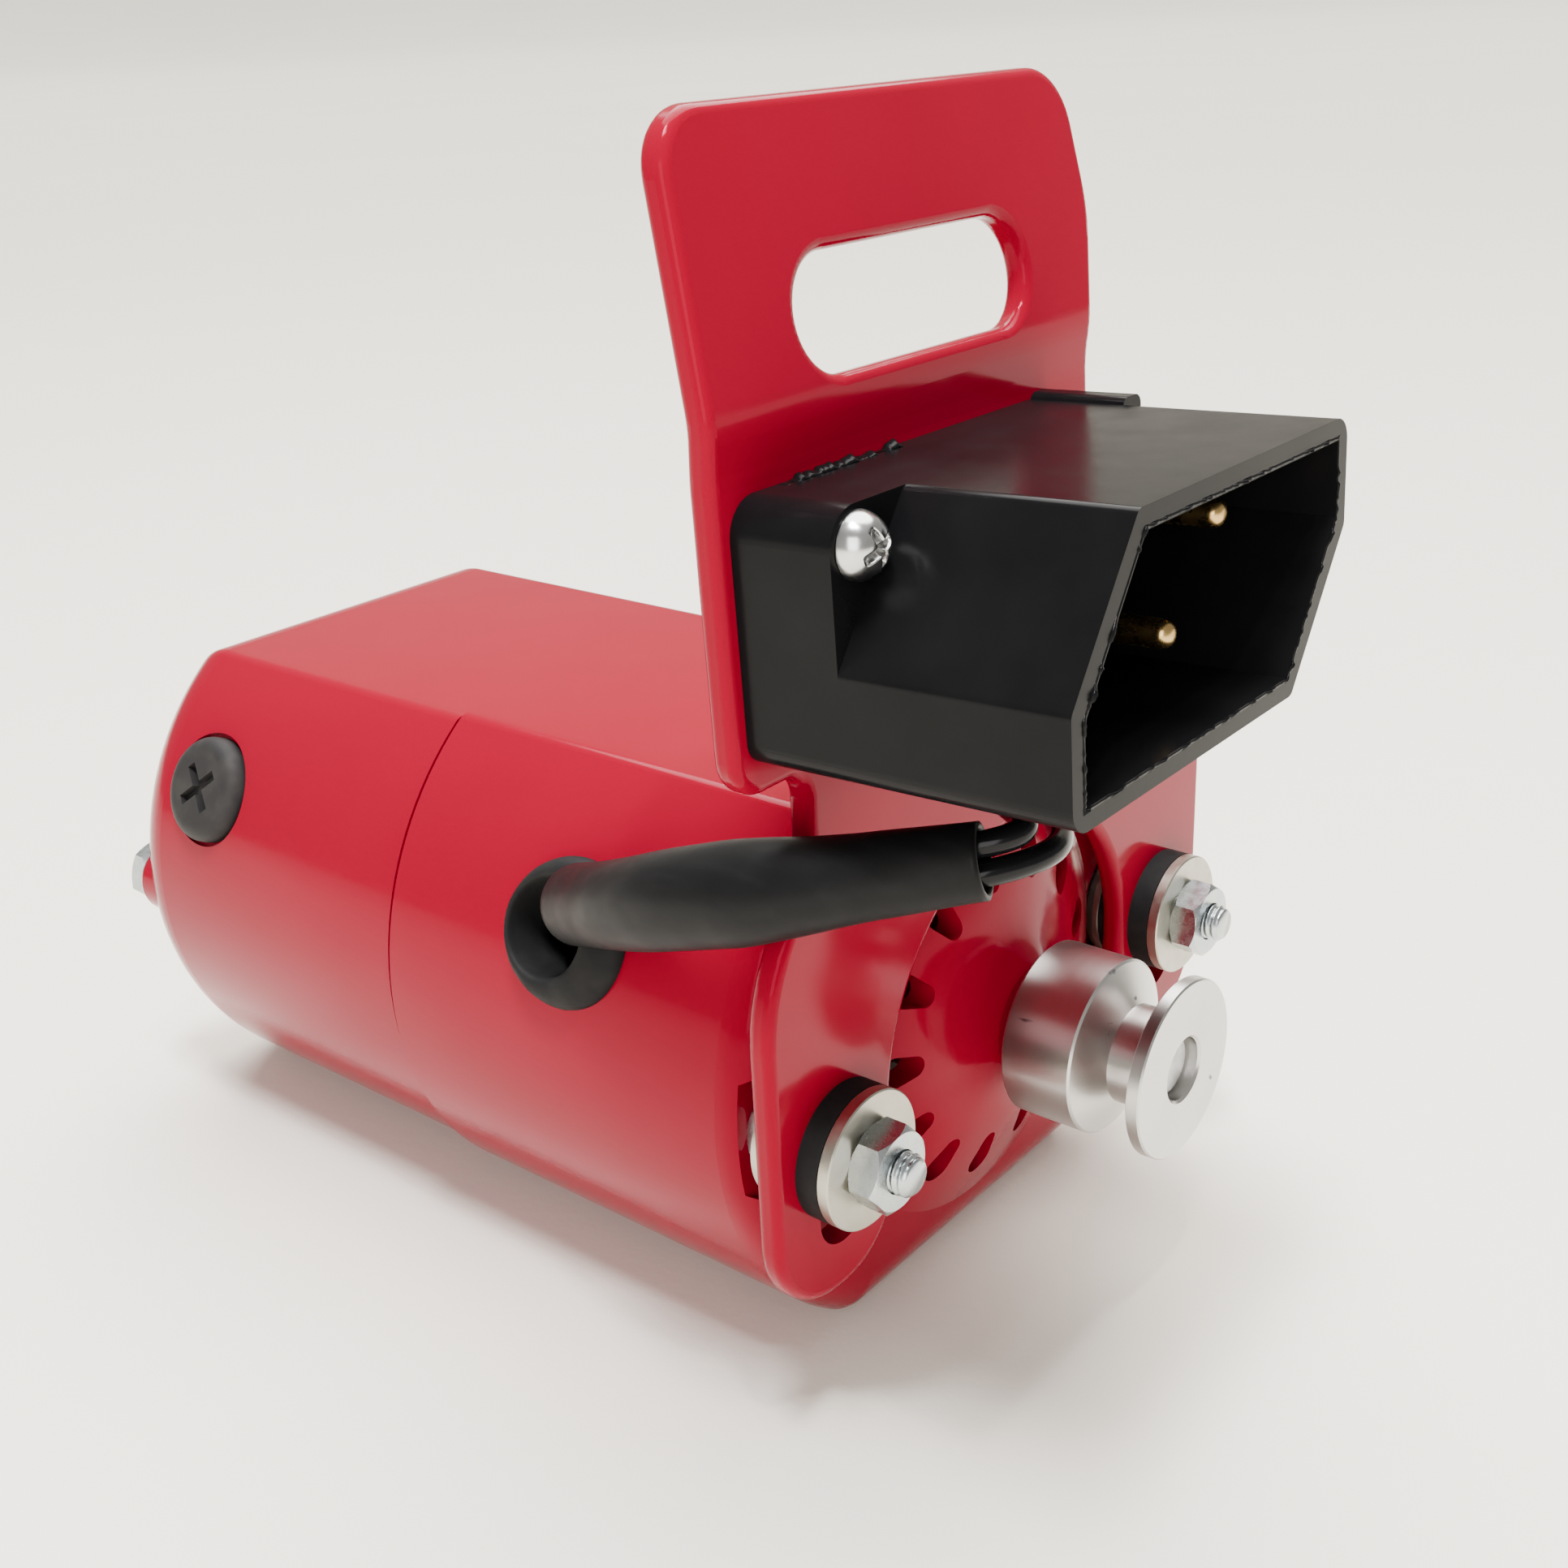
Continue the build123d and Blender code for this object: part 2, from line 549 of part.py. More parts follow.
def armature_windings():
    """Copper in the slots and the two rounded heads of end turns."""
    front, rear = STATOR_FRONT_Y + 0.5, STATOR_REAR_Y - 0.5
    coils = Part()
    for end, outwards in ((front, -1), (rear, 1)):
        head = [(SPACER_RADIUS, 0), (14.6, 0), (14.6, 3.6), (12.0, 6.2), (6.5, 6.6), (SPACER_RADIUS, 5.0)]
        coils += lathe([(radius, end + outwards * reach) for radius, reach in head])
    for number in range(ARMATURE_SLOTS):
        turn = math.radians(number * 360 / ARMATURE_SLOTS)
        x, z = ARMATURE_SLOT_PITCH * math.cos(turn), ARMATURE_SLOT_PITCH * math.sin(turn)
        coils += rod(ARMATURE_SLOT_RADIUS - 0.1, front - 0.5, rear + 0.5, x, z)
    return coils


def commutator():
    """Copper bars on a moulded hub, with a raised riser for the winding ends."""
    drum = lathe([(SHAFT_RADIUS, 72.0), (10.4, 72.0), (11.4, 73.0), (11.4, 75.4), (COMMUTATOR_RADIUS, 76.2),
                  (COMMUTATOR_RADIUS, 89.2), (SHAFT_RADIUS, 89.2)])
    for number in range(COMMUTATOR_BARS):
        cut = Pos(10.2, 82.0, 0) * Box(2.0, 16.0, 0.5)
        drum -= Rot(0, number * 360 / COMMUTATOR_BARS, 0) * cut
    return drum


def cooling_fan():
    fan = tube(6.0, SHAFT_RADIUS, 13.0, 21.0) + tube(FAN_RADIUS, SHAFT_RADIUS, 19.8, 21.0)
    for number in range(FAN_BLADES):
        blade = Pos((5.5 + FAN_RADIUS) / 2, 16.4, 0) * Box(FAN_RADIUS - 5.5, 6.8, 1.0)
        fan += Rot(0, number * 360 / FAN_BLADES, 0) * blade
    return fan


def shaft_spacers():
    """Thrust washers and distance tubes that keep the rotor's parts in place along the shaft."""
    spans = ((11.4, 13.0), (21.0, STATOR_FRONT_Y + 0.5), (STATOR_REAR_Y - 0.5, 72.0), (89.2, 90.2))
    return [tube(SPACER_RADIUS, SHAFT_RADIUS, start, end) for start, end in spans]


def bearing(y_start, y_end):
    """A sintered bronze bush."""
    return tube(BEARING_RADIUS, SHAFT_RADIUS + RUNNING_CLEARANCE, y_start, y_end)


def retainer(y_start):
    """A pressed steel cap that keeps the bearing in its boss."""
    return tube(BEARING_RADIUS, 4.0, y_start, y_start + 0.6)


# Stator and brushes

def stator_core():
    outline = Circle(STATOR_RADIUS) & Rectangle(100, 2 * STATOR_HALF_HEIGHT)
    outline -= Circle(STATOR_BORE)
    for middle in (0, 180):
        outline -= ring_sector(STATOR_BORE - 1, COIL_OUTER + 0.3, middle, 54)
        for sign in (-1, 1):
            outline += ring_sector(STATOR_BORE, STATOR_BORE + 1.5, middle + sign * 46, 12)
    for side in (-1, 1):
        outline -= Pos(side * STUD_X, 0) * Circle(STUD_RADIUS + 0.15)
    return slab(outline, STATOR_FRONT_Y, STATOR_REAR_Y)


def field_coil(middle):
    """A saddle coil around one pole: two sides in the slots and two arched end turns."""
    around = slab(ring_sector(COIL_INNER, COIL_OUTER, middle, 54), STATOR_FRONT_Y - COIL_OVERHANG,
                  STATOR_REAR_Y + COIL_OVERHANG)
    pole = slab(ring_sector(COIL_INNER - 1, COIL_OUTER + 1, middle, 36.6), STATOR_FRONT_Y - 0.4, STATOR_REAR_Y + 0.4)
    return around - pole


def brush_holder(angle):
    """A moulded tube pressed into the rear shell, threaded for the cap at its outer end."""
    holder = post(5.2, 12.6, BRUSH_CAP_SEAT)
    holder -= Pos(0, 0, 18) * Box(6.2, 6.2, 14)
    holder -= post(3.6, 24, 40)
    return radially(angle, BRUSH_Y) * holder


def brush_tube(angle):
    """The square brass liner that guides the brush."""
    liner = Pos(0, 0, 18.6) * (Box(6.2, 6.2, 11.6) - Box(5.0, 5.0, 20))
    return radially(angle, BRUSH_Y) * liner


def carbon_brush(angle):
    brush = Pos(0, 0, 15.2) * Box(4.8, 4.8, 9.8)
    return radially(angle, BRUSH_Y) * brush


def brush_spring(angle):
    """The coil spring behind the brush."""
    coil = Helix(pitch=1.3, height=5.2, radius=1.7)
    wire = sweep(Plane(origin=coil @ 0, z_dir=coil % 0) * Circle(0.25), path=coil)
    return radially(angle, BRUSH_Y) * Pos(0, 0, 20.5) * wire


def brush_cap(angle):
    """A domed screw cap with a cross slot."""
    top = BRUSH_CAP_SEAT + BRUSH_CAP_HEIGHT
    length, width = BRUSH_CAP_SLOT
    head = fillet(post(BRUSH_CAP_RADIUS, BRUSH_CAP_SEAT, top).edges().sort_by(Axis.Z)[-1], 1.7)
    stub = post(3.5, 26.2, BRUSH_CAP_SEAT + 1)
    cross = Box(length, width, 2.0) + Box(width, length, 2.0)
    return radially(angle, BRUSH_Y) * (head + stub - Pos(0, 0, top) * Rot(0, 0, 40) * cross)


def pair(maker, *more):
    """The same piece at both studs."""
    return [maker(x, *more) for x in (-STUD_X, STUD_X)]


def at_both_studs(shape):
    return [Pos(x, 0, 0) * shape for x in (-STUD_X, STUD_X)]


def nodes():
    """Every node's name and its pieces."""
    made = {
        "front_housing": [front_housing()],
        "rear_housing": [rear_housing()],
        "mounting_bracket": [mounting_bracket()],
        "bracket_bushes": pair(bracket_bush),
        "front_washers": at_both_studs(washer(WASHER_RADIUS, 1.2, -3.4, 0)),
        "front_nuts": [nut(-6.3, NUT_HEIGHT, -STUD_X, 8), nut(-6.3, NUT_HEIGHT, STUD_X, 22)],
        "rear_washers": [*at_both_studs(washer(WASHER_RADIUS, 0.9, 3.5, 0)),
                         *at_both_studs(washer(6.0, 0.8, 4.4, 0))],
        "clamp_nuts": [nut(5.2, THIN_NUT_HEIGHT, -STUD_X, 20), nut(5.2, THIN_NUT_HEIGHT, STUD_X, 5)],
        "through_studs": pair(through_stud),
        "lock_washers": at_both_studs(washer(3.8, 0.8, REAR_PAD_Y, 0)),
        "rear_nuts": [nut(REAR_PAD_Y + 0.8, THIN_NUT_HEIGHT, -STUD_X, 14),
                      nut(REAR_PAD_Y + 0.8, THIN_NUT_HEIGHT, STUD_X, 3)],
        "inlet_housing": [inlet_housing()],
        "inlet_pins": [inlet_pin(x, z) for x, z in INLET_PINS],
        "inlet_screws": [inlet_screw(x, z) for x, z in INLET_SCREWS],
        "lead_grommet": [lead_grommet()],
        "lead_sleeve": [lead_sleeve()],
        "lead_wires": [lead_wire(WIRE_LOW), lead_wire(WIRE_HIGH)],
        "shaft": [shaft()],
        "pulley": [pulley()],
        "pulley_set_screw": [pulley_set_screw()],
        "armature_core": [armature_core()],
        "armature_windings": [armature_windings()],
        "commutator": [commutator()],
        "cooling_fan": [cooling_fan()],
        "shaft_spacers": shaft_spacers(),
        "front_bearing": [bearing(1.6, 9.6)],
        "rear_bearing": [bearing(91.8, REAR_Y - END_WALL)],
        "bearing_retainers": [retainer(9.6), retainer(91.2)],
        "stator_core": [stator_core()],
        "field_coils": [field_coil(90), field_coil(-90)],
        "brush_holders": [brush_holder(angle) for angle in BRUSH_ANGLES.values()],
        "brush_tubes": [brush_tube(angle) for angle in BRUSH_ANGLES.values()],
        "brush_caps": [brush_cap(angle) for angle in BRUSH_ANGLES.values()],
    }
    for side, angle in BRUSH_ANGLES.items():
        made[side + "_carbon_brush"] = [carbon_brush(angle)]
        made[side + "_brush_spring"] = [brush_spring(angle)]
    return made


os.makedirs("parts", exist_ok=True)
for name, pieces in nodes().items():
    solids = [solid for piece in pieces for solid in piece.solids()]
    export_step(TO_FRAME * Compound(children=solids), "parts/" + name + ".step")
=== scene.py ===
import bpy
import bmesh
import json
import math
from mathutils import Matrix, Vector, noise


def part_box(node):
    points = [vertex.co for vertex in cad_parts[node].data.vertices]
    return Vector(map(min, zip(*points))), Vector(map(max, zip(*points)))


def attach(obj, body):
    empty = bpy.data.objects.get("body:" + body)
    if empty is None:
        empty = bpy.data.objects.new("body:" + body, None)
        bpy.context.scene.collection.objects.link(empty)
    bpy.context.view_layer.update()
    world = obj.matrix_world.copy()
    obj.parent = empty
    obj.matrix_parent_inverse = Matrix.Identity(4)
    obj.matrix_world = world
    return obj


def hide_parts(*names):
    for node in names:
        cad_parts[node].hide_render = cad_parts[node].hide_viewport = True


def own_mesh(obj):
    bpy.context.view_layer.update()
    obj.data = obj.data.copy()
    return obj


# A sewing machine motor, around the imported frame. The pulley end looks along -Y, the bracket's flag stands
# up along +Z, and the origin is on the underside. Lengths with a factor MM, and those of the lights, floor
# and materials, are in metres; the others are in millimetres and pass through place(), on_shell() or
# on_lower_flag().

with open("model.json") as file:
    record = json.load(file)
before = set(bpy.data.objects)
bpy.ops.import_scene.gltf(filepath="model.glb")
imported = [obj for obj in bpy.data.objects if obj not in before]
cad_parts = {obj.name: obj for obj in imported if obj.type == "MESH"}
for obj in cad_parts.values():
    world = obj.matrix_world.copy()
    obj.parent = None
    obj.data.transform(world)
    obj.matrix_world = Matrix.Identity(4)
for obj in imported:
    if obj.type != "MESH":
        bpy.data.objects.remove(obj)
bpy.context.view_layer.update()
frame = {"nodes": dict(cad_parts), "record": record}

MM = 0.001
SHAFT_Z = 0.0265
BRACKET_Y = -0.050
BODY_RADIUS = 32.9 * MM
STUD_X = 27.7 * MM
STUD_RADIUS = 2.0 * MM
LOWER_LEAN = math.radians(2.0)
LEAN_START = Vector((0, BRACKET_Y + 1.25 * MM, SHAFT_Z + 33.0 * MM))


def place(x, y, z):
    """A point given in millimetres from the shaft axis and the bracket's front face."""
    return Vector((x * MM, y * MM + BRACKET_Y, z * MM + SHAFT_Z))


# Camera, lights and floor

CAMERA_AZIMUTH = math.radians(-49.92)
CAMERA_ELEVATION = math.radians(22.66)
CAMERA_ROLL = math.radians(-2.85)
CAMERA_TARGET = Vector((-6.8, -28.06, 47.87)) * MM
CAMERA_DISTANCE = 179.52 * MM
CAMERA_LENS = 42.89
CAMERA_SENSOR = 36.0
CAMERA_NEAR = 0.005


def add_camera():
    """The camera looks at its target from a direction, at a distance, rolled about its own axis."""
    level = math.cos(CAMERA_ELEVATION)
    right = Vector((math.cos(CAMERA_AZIMUTH), math.sin(CAMERA_AZIMUTH), 0))
    back = Vector((right.y * level, -right.x * level, math.sin(CAMERA_ELEVATION)))
    up = back.cross(right)
    across = right * math.cos(CAMERA_ROLL) + up * math.sin(CAMERA_ROLL)
    upright = up * math.cos(CAMERA_ROLL) - right * math.sin(CAMERA_ROLL)
    data = bpy.data.cameras.new("camera")
    data.lens = CAMERA_LENS
    data.sensor_width = CAMERA_SENSOR
    data.clip_start = CAMERA_NEAR
    camera = bpy.data.objects.new("camera", data)
    turn = Matrix((across, upright, back)).transposed().to_4x4()
    camera.matrix_world = Matrix.Translation(CAMERA_TARGET + back * CAMERA_DISTANCE) @ turn
    bpy.context.scene.collection.objects.link(camera)
    bpy.context.scene.camera = camera


LIGHTS_AIM = Vector((0, 0, 0.03))
ROOM_COLOUR = (0.82, 0.80, 0.76, 1)
ROOM_STRENGTH = 0.60


def add_light(name, kind, location, power, colour, size=None, spread=None):
    """A light that looks at the object from a place."""
    data = bpy.data.lights.new(name, kind)
    if kind == "AREA":
        data.shape = "RECTANGLE"
        data.size, data.size_y = size
    else:
        data.angle = spread
    data.energy = power
    data.color = colour
    light = bpy.data.objects.new(name, data)
    light.location = location
    light.rotation_euler = (LIGHTS_AIM - Vector(location)).to_track_quat("-Z", "Y").to_euler()
    bpy.context.scene.collection.objects.link(light)


def add_lights():
    """Soft daylight from the right, weaker lights from above and the left, and an even pale room."""
    add_light("daylight", "SUN", (0.40, 0.20, 0.85), 7.6, (1.0, 0.985, 0.95), spread=math.radians(60))
    add_light("window", "AREA", (-0.15, -0.10, 0.75), 9.0, (0.98, 0.99, 1.0), size=(0.10, 0.18))
    add_light("bulb", "AREA", (-0.12, -0.20, 0.62), 1.0, (1.0, 0.98, 0.95), size=(0.022, 0.022))
    add_light("room", "AREA", (-0.85, -0.55, 0.40), 7.0, (1.0, 0.98, 0.96), size=(0.5, 0.7))
    world = bpy.data.worlds.new("studio")
    world.use_nodes = True
    background = world.node_tree.nodes["Background"]
    background.inputs["Color"].default_value = ROOM_COLOUR
    background.inputs["Strength"].default_value = ROOM_STRENGTH
    bpy.context.scene.world = world


FLOOR_NEAR, FLOOR_FAR, FLOOR_HALF_WIDTH = -4.0, 8.0, 14.0
BACKDROP_RADIUS, BACKDROP_TOP = 9.0, 11.0
BACKDROP_STEPS = 16


def add_floor():
    """A pale floor that curves up into a backdrop far behind the object."""
    outline = [(FLOOR_NEAR, 0.0), (FLOOR_FAR, 0.0)]
    for step in range(1, BACKDROP_STEPS + 1):
        turn = math.pi / 2 * step / BACKDROP_STEPS
        outline.append((FLOOR_FAR + BACKDROP_RADIUS * math.sin(turn), BACKDROP_RADIUS * (1 - math.cos(turn))))
    outline.append((FLOOR_FAR + BACKDROP_RADIUS, BACKDROP_TOP))
    mesh = bmesh.new()
    sides = [[mesh.verts.new((x, y, z)) for y, z in outline] for x in (-FLOOR_HALF_WIDTH, FLOOR_HALF_WIDTH)]
    for i in range(len(outline) - 1):
        mesh.faces.new((sides[0][i], sides[1][i], sides[1][i + 1], sides[0][i + 1]))
    data = bpy.data.meshes.new("floor")
    mesh.to_mesh(data)
    mesh.free()
    data.shade_smooth()
    floor = bpy.data.objects.new("floor", data)
    floor.rotation_euler = (0, 0, CAMERA_AZIMUTH)
    bpy.context.scene.collection.objects.link(floor)
    floor.data.materials.append(floor_material())


# Materials

class Shader:
    """A Principled material with textures in the frame's own coordinates, in metres."""

    def __init__(self, name, colour, roughness, **sockets):
        self.material = bpy.data.materials.new(name)
        self.material.use_nodes = True
        self.tree = self.material.node_tree
        self.nodes = self.tree.nodes
        self.principled = self.nodes["Principled BSDF"]
        self.principled.inputs["Base Color"].default_value = (*colour, 1)
        self.principled.inputs["Roughness"].default_value = roughness
        for socket, value in sockets.items():
            self.principled.inputs[socket.replace("_", " ")].default_value = value
        self.colour = colour
        self.position = self.add("ShaderNodeTexCoord").outputs["Object"]
        self.normal = None

    def add(self, kind, **inputs):
        node = self.nodes.new(kind)
        for name, value in inputs.items():
            self.feed(node.inputs[name.replace("_", " ")], value)
        return node

    def feed(self, socket, value):
        if isinstance(value, bpy.types.NodeSocket):
            self.tree.links.new(value, socket)
        else:
            socket.default_value = value

    def maths(self, operation, *values):
        node = self.nodes.new("ShaderNodeMath")
        node.operation = operation
        for socket, value in zip(node.inputs, values):
            self.feed(socket, value)
        return node.outputs[0]

    def noise(self, size, detail=3.0, vector=None, rough=0.5):
        """Noise whose blotches are about size metres across, from 0 to 1."""
        node = self.add("ShaderNodeTexNoise", Vector=vector or self.position, Scale=1 / size, Detail=detail,
                        Roughness=rough)
        return node.outputs["Fac"]

    def ramp(self, value, low, high, start=0.0, end=1.0):
        """A value between low and high, spread out between start and end."""
        node = self.add("ShaderNodeMapRange", Value=value)
        node.inputs["From Min"].default_value = low
        node.inputs["From Max"].default_value = high
        node.inputs["To Min"].default_value = start
        node.inputs["To Max"].default_value = end
        return node.outputs["Result"]

    def mix_colour(self, share, first, second):
        node = self.nodes.new("ShaderNodeMix")
        node.data_type = "RGBA"
        self.feed(node.inputs["Factor"], share)
        for socket, value in ((node.inputs[6], first), (node.inputs[7], second)):
            self.feed(socket, value if isinstance(value, bpy.types.NodeSocket) else (*value, 1))
        return node.outputs[2]

    def stretched(self, x, y, z):
        """The position squeezed along some axes, so that noise runs in streaks."""
        node = self.nodes.new("ShaderNodeVectorMath")
        node.operation = "MULTIPLY"
        self.feed(node.inputs[0], self.position)
        node.inputs[1].default_value = (x, y, z)
        return node.outputs["Vector"]

    def turned(self, centre_x=0.0, centre_z=SHAFT_Z, lengthwise=1.0):
        """Coordinates of turned work about a level axis: (radius, distance along the axis, 0)."""
        parts = self.add("ShaderNodeSeparateXYZ", Vector=self.position)
        x = self.maths("SUBTRACT", parts.outputs["X"], centre_x)
        z = self.maths("SUBTRACT", parts.outputs["Z"], centre_z)
        squares = (self.maths("MULTIPLY", x, x), self.maths("MULTIPLY", z, z))
        radius = self.maths("SQRT", self.maths("ADD", *squares))
        along = self.maths("MULTIPLY", parts.outputs["Y"], lengthwise)
        joined = self.add("ShaderNodeCombineXYZ", X=radius, Y=along)
        return joined.outputs["Vector"]

    def vary_colour(self, share, other):
        self.feed(self.principled.inputs["Base Color"], self.mix_colour(share, self.colour, other))

    def vary_roughness(self, value):
        self.feed(self.principled.inputs["Roughness"], value)

    def bump(self, height, distance, strength):
        """Adds a relief, distance metres deep, on top of the earlier ones."""
        node = self.add("ShaderNodeBump", Height=height)
        node.inputs["Distance"].default_value = distance
        node.inputs["Strength"].default_value = strength
        if self.normal is not None:
            self.feed(node.inputs["Normal"], self.normal)
        self.normal = node.outputs["Normal"]
        self.feed(self.principled.inputs["Normal"], self.normal)


def floor_material():
    shader = Shader("pale_floor", (0.90, 0.86, 0.775), 0.8, Specular_IOR_Level=0.2)
    shader.vary_colour(shader.ramp(shader.noise(0.35, 2), 0.3, 0.7, 0, 0.5), (0.85, 0.81, 0.715))
    shader.bump(shader.noise(0.0016, 2), 0.00012, 0.35)
    return shader.material


def red_coating():
    """Thick glossy powder coating with a slight orange peel and soft waves."""
    shader = Shader("red_coating", (0.235, 0.0002, 0.0150), 0.13, Specular_IOR_Level=0.15,
                    Specular_Tint=(1.0, 0.03, 0.14, 1), Coat_Weight=0.04, Coat_Roughness=0.06, Coat_IOR=1.5)
    shader.vary_colour(shader.ramp(shader.noise(0.03, 3), 0.35, 0.7, 0, 0.6), (0.210, 0.0002, 0.0130))
    shader.vary_roughness(shader.ramp(shader.noise(0.006, 4), 0.3, 0.7, 0.10, 0.16))
    shader.bump(shader.noise(0.012, 0), 0.00022, 0.30)
    shader.bump(shader.noise(0.0012, 0), 0.000004, 0.5)
    return shader.material


def black_moulding():
    """Semi-gloss moulded plastic with a fine grain and faint flow marks."""
    shader = Shader("black_moulding", (0.004, 0.004, 0.0045), 0.22, Specular_IOR_Level=0.07)
    shader.vary_colour(shader.ramp(shader.noise(0.009, 3), 0.4, 0.75, 0, 1), (0.006, 0.006, 0.0065))
    shader.vary_roughness(shader.ramp(shader.noise(0.005, 4), 0.3, 0.7, 0.18, 0.27))
    shader.bump(shader.noise(0.009, 0), 0.00008, 0.3)
    shader.bump(shader.noise(0.0006, 1), 0.000005, 0.5)
    return shader.material


def brush_cap_moulding():
    shader = Shader("brush_cap_moulding", (0.020, 0.019, 0.0195), 0.58, Specular_IOR_Level=0.12)
    shader.vary_colour(shader.ramp(shader.noise(0.0025, 4), 0.45, 0.75, 0, 1), (0.030, 0.028, 0.027))
    shader.bump(shader.noise(0.0006, 3), 0.000012, 0.5)
    return shader.material


def black_rubber():
    """Dull moulded rubber, dustier in its hollows."""
    shader = Shader("black_rubber", (0.010, 0.010, 0.0105), 0.62, Specular_IOR_Level=0.09)
    shader.vary_colour(shader.ramp(shader.noise(0.0035, 5), 0.45, 0.8, 0, 1), (0.018, 0.017, 0.016))
    shader.vary_roughness(shader.ramp(shader.noise(0.002, 4), 0.3, 0.7, 0.52, 0.72))
    shader.bump(shader.noise(0.0007, 4), 0.000035, 0.6)
    return shader.material


def sleeving():
    """Matt black sleeving with fine lengthwise drawing marks."""
    shader = Shader("sleeving", (0.006, 0.006, 0.0064), 0.46, Specular_IOR_Level=0.09)
    streaks = shader.noise(0.0012, 4, vector=shader.stretched(1.0, 0.10, 0.6))
    shader.vary_colour(shader.ramp(streaks, 0.45, 0.8, 0, 1), (0.009, 0.009, 0.0094))
    shader.vary_roughness(shader.ramp(shader.noise(0.003, 2), 0.3, 0.7, 0.38, 0.47))
    shader.bump(streaks, 0.000012, 0.5)
    return shader.material


def wire_insulation():
    shader = Shader("wire_insulation", (0.005, 0.005, 0.006), 0.16, Specular_IOR_Level=0.14)
    shader.vary_roughness(shader.ramp(shader.noise(0.002, 3), 0.3, 0.7, 0.12, 0.24))
    shader.bump(shader.noise(0.0012, 2), 0.000030, 0.4)
    return shader.material


def plated(name, colour, tint, roughness, grain=0.0009):
    """Bright plated steel, with faint tinted patches, fine grain and small dents."""
    shader = Shader(name, colour, roughness, Metallic=1.0)
    shader.vary_colour(shader.ramp(shader.noise(0.0022, 4), 0.4, 0.7, 0, 1), tint)
    shader.vary_roughness(shader.ramp(shader.noise(grain, 4), 0.3, 0.7, roughness - 0.03, roughness + 0.06))
    shader.bump(shader.noise(grain, 2), 0.0000012, 0.6)
    return shader.material


def zinc_plate():
    return plated("zinc_plate", (0.46, 0.49, 0.50), (0.42, 0.46, 0.48), 0.26)


def washer_plate():
    return plated("washer_plate", (0.44, 0.42, 0.36), (0.39, 0.37, 0.31), 0.34)


def nickel_screw():
    return plated("nickel_screw", (0.56, 0.56, 0.56), (0.48, 0.48, 0.48), 0.20)


def brass():
    return plated("brass", (0.56, 0.38, 0.15), (0.46, 0.30, 0.12), 0.26)


def bearing_bronze():
    return plated("bearing_bronze", (0.50, 0.31, 0.15), (0.36, 0.22, 0.11), 0.42)


def bright_steel():
    return plated("bright_steel", (0.60, 0.60, 0.60), (0.44, 0.44, 0.45), 0.50)


def spring_steel():
    return plated("spring_steel", (0.52, 0.52, 0.52), (0.40, 0.40, 0.42), 0.25)


def black_steel():
    return plated("black_steel", (0.06, 0.06, 0.065), (0.035, 0.035, 0.04), 0.38)


def turned_aluminium():
    """Machined aluminium with turning rings, a few dull smears and dark handling marks."""
    shader = Shader("turned_aluminium", (0.54, 0.53, 0.51), 0.28, Metallic=1.0)
    rings = shader.noise(0.0005, 1, vector=shader.turned())
    smears = shader.ramp(shader.noise(0.006, 2), 0.40, 0.70)
    marks = shader.ramp(shader.noise(0.0016, 2, vector=shader.stretched(1.0, 0.35, 1.0)), 0.715, 0.77)
    tone = shader.mix_colour(smears, shader.colour, (0.50, 0.49, 0.48))
    shader.feed(shader.principled.inputs["Base Color"], shader.mix_colour(marks, tone, (0.12, 0.12, 0.13)))
    shader.vary_roughness(shader.ramp(rings, 0.3, 0.7, 0.275, 0.295))
    shader.bump(rings, 0.0000001, 0.5)
    return shader.material


def lamination_steel():
    """Stacked sheets, each half a millimetre thick."""
    shader = Shader("lamination_steel", (0.26, 0.26, 0.27), 0.42, Metallic=0.9)
    sheets = shader.noise(0.0005, 1, vector=shader.stretched(0.02, 1.0, 0.02))
    shader.vary_colour(shader.ramp(sheets, 0.4, 0.7, 0, 1), (0.14, 0.13, 0.13))
    shader.bump(sheets, 0.00010, 0.7)
    return shader.material


def enamelled_copper():
    """Varnished windings: fine wires side by side."""
    shader = Shader("enamelled_copper", (0.48, 0.16, 0.05), 0.30, Metallic=0.85,
                    Coat_Weight=0.6, Coat_Roughness=0.2)
    wires = shader.noise(0.0004, 2, vector=shader.turned(lengthwise=0.3))
    shader.vary_colour(shader.ramp(wires, 0.4, 0.7, 0, 1), (0.24, 0.07, 0.02))
    shader.bump(wires, 0.00015, 0.8)
    return shader.material


def commutator_copper():
    shader = Shader("commutator_copper", (0.62, 0.30, 0.16), 0.28, Metallic=1.0)
    track = shader.noise(0.0003, 3, vector=shader.turned())
    shader.vary_colour(shader.ramp(shader.noise(0.003, 4), 0.4, 0.7, 0, 1), (0.30, 0.14, 0.09))
    shader.bump(track, 0.000020, 0.8)
    return shader.material


def fan_moulding():
    shader = Shader("fan_moulding", (0.62, 0.60, 0.55), 0.5)
    shader.vary_colour(shader.ramp(shader.noise(0.004, 4), 0.4, 0.8, 0, 1), (0.50, 0.47, 0.42))
    shader.bump(shader.noise(0.0008, 3), 0.00003, 0.5)
    return shader.material


def phenolic():
    shader = Shader("phenolic", (0.075, 0.040, 0.026), 0.42)
    shader.vary_colour(shader.noise(0.0012, 4), (0.11, 0.06, 0.04))
    shader.bump(shader.noise(0.0005, 3), 0.00002, 0.5)
    return shader.material


def carbon():
    shader = Shader("carbon", (0.030, 0.030, 0.032), 0.55)
    shader.vary_colour(shader.ramp(shader.noise(0.0004, 2), 0.5, 0.7), (0.07, 0.07, 0.075))
    shader.bump(shader.noise(0.0003, 3), 0.00002, 0.5)
    return shader.material


